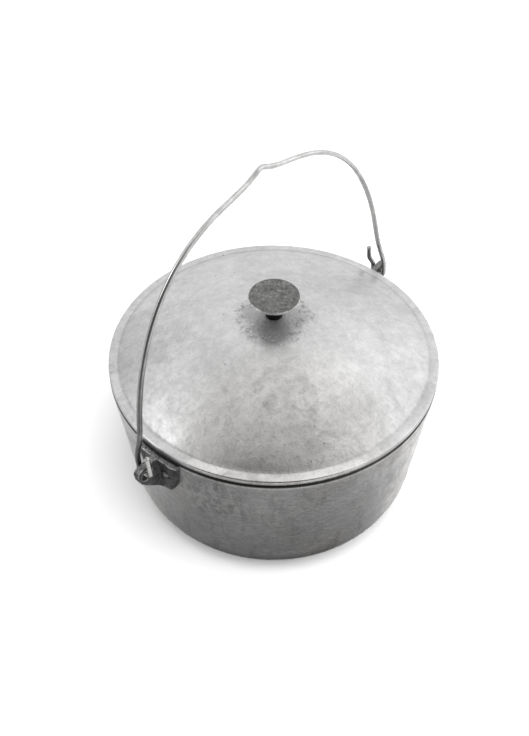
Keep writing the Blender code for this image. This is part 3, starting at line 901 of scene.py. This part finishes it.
def make_ears():
    ear = ear_blank()
    remesh = ear.modifiers.new("cast", "REMESH")
    remesh.mode = "VOXEL"
    remesh.voxel_size = EAR_VOXEL
    remesh.use_smooth_shade = True
    apply_modifiers(ear)
    work = bmesh.new()
    work.from_mesh(ear.data)
    for _ in range(3):
        bmesh.ops.smooth_vert(
            work, verts=work.verts, factor=0.5, use_axis_x=True, use_axis_y=True, use_axis_z=True
        )
    work.normal_update()
    for vert in work.verts:
        near_eye = math.hypot(vert.co.x - EYE_OFFSET, vert.co.z - EYE_HEIGHT) < EYE_RADIUS + 0.0012
        lumps = noise.noise(vert.co * 260.0) * 0.00012 + noise.noise(vert.co * 700.0) * 0.00006
        if not near_eye:
            vert.co += vert.normal * (lumps - 0.00015)
        least = wall_radius(vert.co.z) + GAP
        radius = math.hypot(vert.co.x, vert.co.y)
        if radius < least:
            vert.co.x *= least / radius
            vert.co.y *= least / radius
    work.normal_update()
    wear = work.verts.layers.float.new("edge_wear")
    # a painted shadow ring round each rivet head, about 2.7 to 5.9 mm from its axis, stored on the mesh's
    # points
    rivet_ring_shadow = work.verts.layers.float.new("rivet_ring_shadow")
    holes = [rivet_frame(EARS["right"], side) for side in RIVET_SIDES.values()]
    for vert in work.verts:
        around = [edge.other_vert(vert).co for edge in vert.link_edges]
        middle = sum(around, Vector()) / len(around)
        vert[wear] = min(max((vert.co - middle).dot(vert.normal) / 0.00007, 0.0), 1.0)
        ring = max(1.0 - abs(point_to_axis(vert.co, hole) - 0.0043) / 0.0016 for hole in holes)
        vert[rivet_ring_shadow] = min(max(ring, 0.0), 1.0)
    for _ in range(2):
        found = {vert: sum(edge.other_vert(vert)[wear] for edge in vert.link_edges) for vert in work.verts}
        for vert, total in found.items():
            vert[wear] = 0.5 * vert[wear] + 0.5 * total / len(vert.link_edges)
    work.to_mesh(ear.data)
    work.free()
    cut(ear, cylinders("ear_rivet_holes", RIVET_HOLE_RADIUS, 0.03, holes, 32))
    ear.data.shade_smooth()
    ear.data.set_sharp_from_angle(angle=math.radians(60.0))
    casting = ear_material()
    for name, azimuth in EARS.items():
        mesh = ear.data.copy()
        mesh.transform(Matrix.Rotation(azimuth, 4, "Z"))
        piece = bpy.data.objects.new(f"ear_casting_{name}", mesh)
        bpy.context.scene.collection.objects.link(piece)
        dress(piece, casting)
        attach(piece, "pot")
        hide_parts(f"ear_{name}")
    bpy.data.objects.remove(ear, do_unlink=True)


def make_rivets():
    dull = rivet_material()
    head_base = WING_DIP_THICKNESS + 2 * GAP
    head_radius, head_height, shank = 0.0037, 0.0019, 0.0025
    head_shrink = 0.985  # keeps the dented head inside its round outline
    tail_base = -WALL - 0.0005
    sphere = (head_radius**2 + head_height**2) / (2 * head_height)
    rim_angle = math.asin(head_radius / sphere)
    centre = head_base + head_height - sphere
    profile = [(0.0, head_base + head_height)]
    profile += arc(0.0, centre, sphere, math.pi / 2, math.pi / 2 - rim_angle, 9)[1:]
    profile += [
        (head_radius - 0.0003, head_base - 0.0002),
        (shank, head_base - 0.0002),
        (shank, tail_base),
        (0.0039, tail_base),
        (0.0040, tail_base - 0.0003),
        (0.0034, tail_base - 0.0011),
        (0.0030, tail_base - 0.0013),
        (0.0, tail_base - 0.0013),
    ]
    for ear_name, ear_azimuth in EARS.items():
        for side_name, side in RIVET_SIDES.items():
            seed = Vector((7.0 * side, 3.0 * ear_azimuth, 1.0))

            def hammered(point):
                if abs(point.z - head_base) > 0.003 or math.hypot(point.x, point.y) < 0.0001:
                    return point
                dent = 0.0003 * (0.5 + 0.5 * noise.noise((point + seed) * 420.0))
                sunk = dent * smoothstep(head_base, head_base + 0.001, point.z)
                return Vector((point.x * head_shrink, point.y * head_shrink, point.z - sunk))

            name = f"rivet_{ear_name}_{side_name}"
            rivet = turned(f"{name}_upset", profile, 40, move=hammered, sharp_degrees=50.0)
            rivet.data.transform(rivet_frame(ear_azimuth, side))
            dress(rivet, dull)
            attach(rivet, "pot")
            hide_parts(name)


# ---------------------------------------------------------------- bail

WIRE_RADIUS = 0.0025
BAIL_LEAN = math.radians(5.2)
ARCH_HALF_SPAN = 0.1786
ARCH_FOOT = -0.035
ARCH_RISE = 0.2333
ARCH_SPAN_POWER = 2.6
ARCH_RISE_POWER = 0.424
KINK_RISE = 0.00998
KINK_WIDTH = 0.0153
KINK_ROUND = 0.3
KINK_OFFSET = 0.0039
HOOK_RADIUS = 0.007
HOOK_CENTRE = -0.00425
LEFT_HOOK_TIP = 0.0163
RIGHT_HOOK_TIP = 0.02
RIGHT_HOOK_SPLAY = 0.0055  # the right hook's free end stands further off its lug
HOOK_SPLAY_RISE = 0.0085  # height over which it gets there
LEG_STRAIGHT = 0.006
LEG_BEND = 0.021


def arch_height(x):
    across = abs(x) / ARCH_HALF_SPAN
    reach = math.hypot((x - KINK_OFFSET) / KINK_WIDTH, KINK_ROUND) - KINK_ROUND
    arch = ARCH_FOOT + ARCH_RISE * (1.0 - across**ARCH_SPAN_POWER) ** ARCH_RISE_POWER
    return arch + KINK_RISE * math.exp(-reach)


def leg_offset(height):
    """How far the wire stands off the arch's plane, to pass beside the lug at its foot."""
    above = max(height - LEG_STRAIGHT, 0.0)
    return HOOK_RADIUS * math.exp(-((above / LEG_BEND) ** 2))


def hook_path(tip, splay):
    """A hook from its free end to its foot, as (distance off the arch's plane, height)."""
    free_steps, bend_steps = 20, 24
    points = []
    for step in range(free_steps):
        height = tip + (HOOK_CENTRE - tip) * step / free_steps
        points.append((HOOK_RADIUS + splay * smoothstep(0.0, HOOK_SPLAY_RISE, height), height))
    for step in range(bend_steps):
        angle = math.pi * step / bend_steps
        points.append((HOOK_RADIUS * math.cos(angle), HOOK_CENTRE - HOOK_RADIUS * math.sin(angle)))
    return points


def bail_path():
    """Centre line of the wire, from one hook's tip over the arch to the other's."""
    foot_share = ((HOOK_CENTRE - ARCH_FOOT) / ARCH_RISE) ** (1.0 / ARCH_RISE_POWER)
    foot = ARCH_HALF_SPAN * (1.0 - foot_share) ** (1.0 / ARCH_SPAN_POWER)
    arch_steps = 320
    arch = []
    for step in range(arch_steps + 1):
        x = -foot * math.cos(math.pi * step / arch_steps)
        z = arch_height(x)
        arch.append((x, -x / foot * leg_offset(z), z))
    left_hook = [(-foot, -off, z) for off, z in hook_path(LEFT_HOOK_TIP, 0.0)]
    right_hook = [(foot, off, z) for off, z in hook_path(RIGHT_HOOK_TIP, RIGHT_HOOK_SPLAY)]
    return [Vector(point) for point in left_hook + arch + right_hook[::-1]]


def make_bail():
    points = bail_path()
    sides = 24
    work = bmesh.new()
    along_layer = work.verts.layers.float.new("wire_along")
    around_layer = work.verts.layers.float_vector.new("wire_around")
    tangents = []
    for index in range(len(points)):
        before = points[max(index - 1, 0)]
        after = points[min(index + 1, len(points) - 1)]
        tangents.append((after - before).normalized())
    side_way = tangents[0].orthogonal().normalized()
    travelled = 0.0
    rings = []

    def add_ring(centre, tangent, radius):
        other_way = tangent.cross(side_way).normalized()
        ring = []
        for step in range(sides):
            angle = 2 * math.pi * step / sides
            out = side_way * math.cos(angle) + other_way * math.sin(angle)
            vert = work.verts.new(centre + out * radius)
            vert[along_layer] = travelled
            vert[around_layer] = (math.cos(angle), math.sin(angle), 0.0)
            ring.append(vert)
        rings.append(ring)

    cut_round = 0.0004
    add_ring(points[0], tangents[0], WIRE_RADIUS - cut_round)
    for index, (point, tangent) in enumerate(zip(points, tangents)):
        if index:
            travelled += (point - points[index - 1]).length
            turn = tangents[index - 1].rotation_difference(tangent)
            side_way = (turn @ side_way).normalized()
        place = point
        if index == 0:
            place = point + tangent * cut_round
        if index == len(points) - 1:
            place = point - tangent * cut_round
        add_ring(place, tangent, WIRE_RADIUS)
    add_ring(points[-1], tangents[-1], WIRE_RADIUS - cut_round)
    for here, there in zip(rings, rings[1:]):
        for step in range(sides):
            other = (step + 1) % sides
            work.faces.new((here[step], here[other], there[other], there[step]))
    work.faces.new(rings[0][::-1])
    work.faces.new(rings[-1])
    bail = finish_mesh("bail_wire_form", work, 50.0)
    lean = Matrix.Translation((0.0, 0.0, PIVOT_HEIGHT)) @ Matrix.Rotation(-BAIL_LEAN, 4, "X")
    bail.data.transform(lean)
    dress(bail, wire_material())
    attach(bail, "bail")
    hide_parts("bail")


# ---------------------------------------------------------------- stage, light, camera


CAMERA_AT = Vector((-0.4763, -0.3901, 0.7980))
CAMERA_TILT = math.radians(43.33)
CAMERA_TURN = math.radians(-49.85)
FOCAL_LENGTH = 44.02
FLOOR_HALF = 9.0
RIGHT = Vector((math.cos(CAMERA_TURN), math.sin(CAMERA_TURN), 0.0))
AHEAD = Vector((-RIGHT.y, RIGHT.x, 0.0))
UP = Vector((0.0, 0.0, 1.0))

# The studio as soft patches of light and shade round the object. Each has an azimuth clockwise from
# the direction away from the camera and an elevation, the angles from its middle at which it starts
# to fade and ends, and the brightness that it adds.
STUDIO_LEVEL = 0.77
STUDIO_LEAST = 0.03
FLOOR_LIGHT_ENERGY = 2.8
STUDIO_PATCHES = {
    "left_window": (-98, 38, 5, 18, 1.58),
    "right_wall": (68, 38, 22, 45, 0.26),
    "dark_room_behind": (-169, 24, 5, 74, -0.71),
    "bright_floor_ahead": (12, -48, 6, 31, 2.5),
    "dark_corner": (-64, 2, 5, 31, -0.42),
    "dark_floor_left": (-108, -71, 15, 30, -0.53),
    "dark_floor_right": (119, -81, 8, 32, -0.9),
}


def studio_direction(azimuth, elevation):
    turn, rise = math.radians(azimuth), math.radians(elevation)
    level = RIGHT * math.sin(turn) + AHEAD * math.cos(turn)
    return level * math.cos(rise) + UP * math.sin(rise)


def make_studio():
    world = bpy.data.worlds.new("studio")
    world.use_nodes = True
    nodes, links = world.node_tree.nodes, world.node_tree.links
    way = nodes.new("ShaderNodeTexCoord").outputs["Generated"]
    total = None
    for azimuth, elevation, full, ends, added in STUDIO_PATCHES.values():
        toward = nodes.new("ShaderNodeVectorMath")
        toward.operation = "DOT_PRODUCT"
        links.new(way, toward.inputs[0])
        toward.inputs[1].default_value = studio_direction(azimuth, elevation)
        fade = nodes.new("ShaderNodeMapRange")
        fade.interpolation_type = "SMOOTHSTEP"
        links.new(toward.outputs["Value"], fade.inputs["Value"])
        fade.inputs["From Min"].default_value = math.cos(math.radians(ends))
        fade.inputs["From Max"].default_value = math.cos(math.radians(full))
        fade.inputs["To Max"].default_value = added
        both = nodes.new("ShaderNodeMath")
        links.new(fade.outputs["Result"], both.inputs[0])
        if total is None:
            both.inputs[1].default_value = STUDIO_LEVEL
        else:
            links.new(total, both.inputs[1])
        total = both.outputs[0]
    least = nodes.new("ShaderNodeMath")
    least.operation = "MAXIMUM"
    links.new(total, least.inputs[0])
    least.inputs[1].default_value = STUDIO_LEAST
    links.new(least.outputs[0], nodes["Background"].inputs["Strength"])
    nodes["Background"].inputs["Color"].default_value = (1.0, 1.0, 1.0, 1.0)
    bpy.context.scene.world = world

    # light for the floor alone
    light = bpy.data.lights.new("floor_light", "SUN")
    light.energy = FLOOR_LIGHT_ENERGY
    light.angle = math.radians(50.0)
    item = bpy.data.objects.new("floor_light", light)
    item.rotation_mode = "QUATERNION"
    item.rotation_quaternion = (-studio_direction(150, 65)).to_track_quat("-Z", "Y")
    item.visible_glossy = False
    bpy.context.scene.collection.objects.link(item)


def make_camera():
    camera = bpy.data.cameras.new("camera")
    camera.lens = FOCAL_LENGTH
    camera.sensor_width = 36.0
    camera.clip_start = 0.01
    item = bpy.data.objects.new("camera", camera)
    item.location = CAMERA_AT
    item.rotation_euler = (CAMERA_TILT, 0.0, CAMERA_TURN)
    bpy.context.scene.collection.objects.link(item)
    bpy.context.scene.camera = item
    bpy.context.scene.view_settings.view_transform = "Standard"
    bpy.context.scene.view_settings.look = "None"


def make_stage():
    """A white floor and a white dome far behind it. Metal reflects the studio, not the floor."""
    work = bmesh.new()
    corners = [(-1.0, -1.0), (1.0, -1.0), (1.0, 1.0), (-1.0, 1.0)]
    work.faces.new([work.verts.new((x * FLOOR_HALF, y * FLOOR_HALF, 0.0)) for x, y in corners])
    floor = new_from("floor", work)
    floor.visible_glossy = False
    material = bpy.data.materials.new("pale_floor")
    material.use_nodes = True
    shader = material.node_tree.nodes["Principled BSDF"]
    shader.inputs["Base Color"].default_value = (0.93, 0.93, 0.93, 1.0)
    shader.inputs["Roughness"].default_value = 0.9
    shader.inputs["Specular IOR Level"].default_value = 0.1
    floor.data.materials.append(material)

    work = bmesh.new()
    bmesh.ops.create_uvsphere(work, u_segments=48, v_segments=24, radius=FLOOR_HALF)
    dome = new_from("backdrop", work)
    for flag in ("visible_diffuse", "visible_glossy", "visible_transmission", "visible_shadow"):
        setattr(dome, flag, False)
    material = bpy.data.materials.new("white_backdrop")
    material.use_nodes = True
    shader = material.node_tree.nodes["Principled BSDF"]
    shader.inputs["Base Color"].default_value = (0.0, 0.0, 0.0, 1.0)
    shader.inputs["Emission Color"].default_value = (1.0, 1.0, 1.0, 1.0)
    shader.inputs["Emission Strength"].default_value = 1.0
    dome.data.materials.append(material)


make_pot()
make_lid()
make_knob()
make_fixing()
make_ears()
make_rivets()
make_bail()
make_stage()
make_studio()
make_camera()
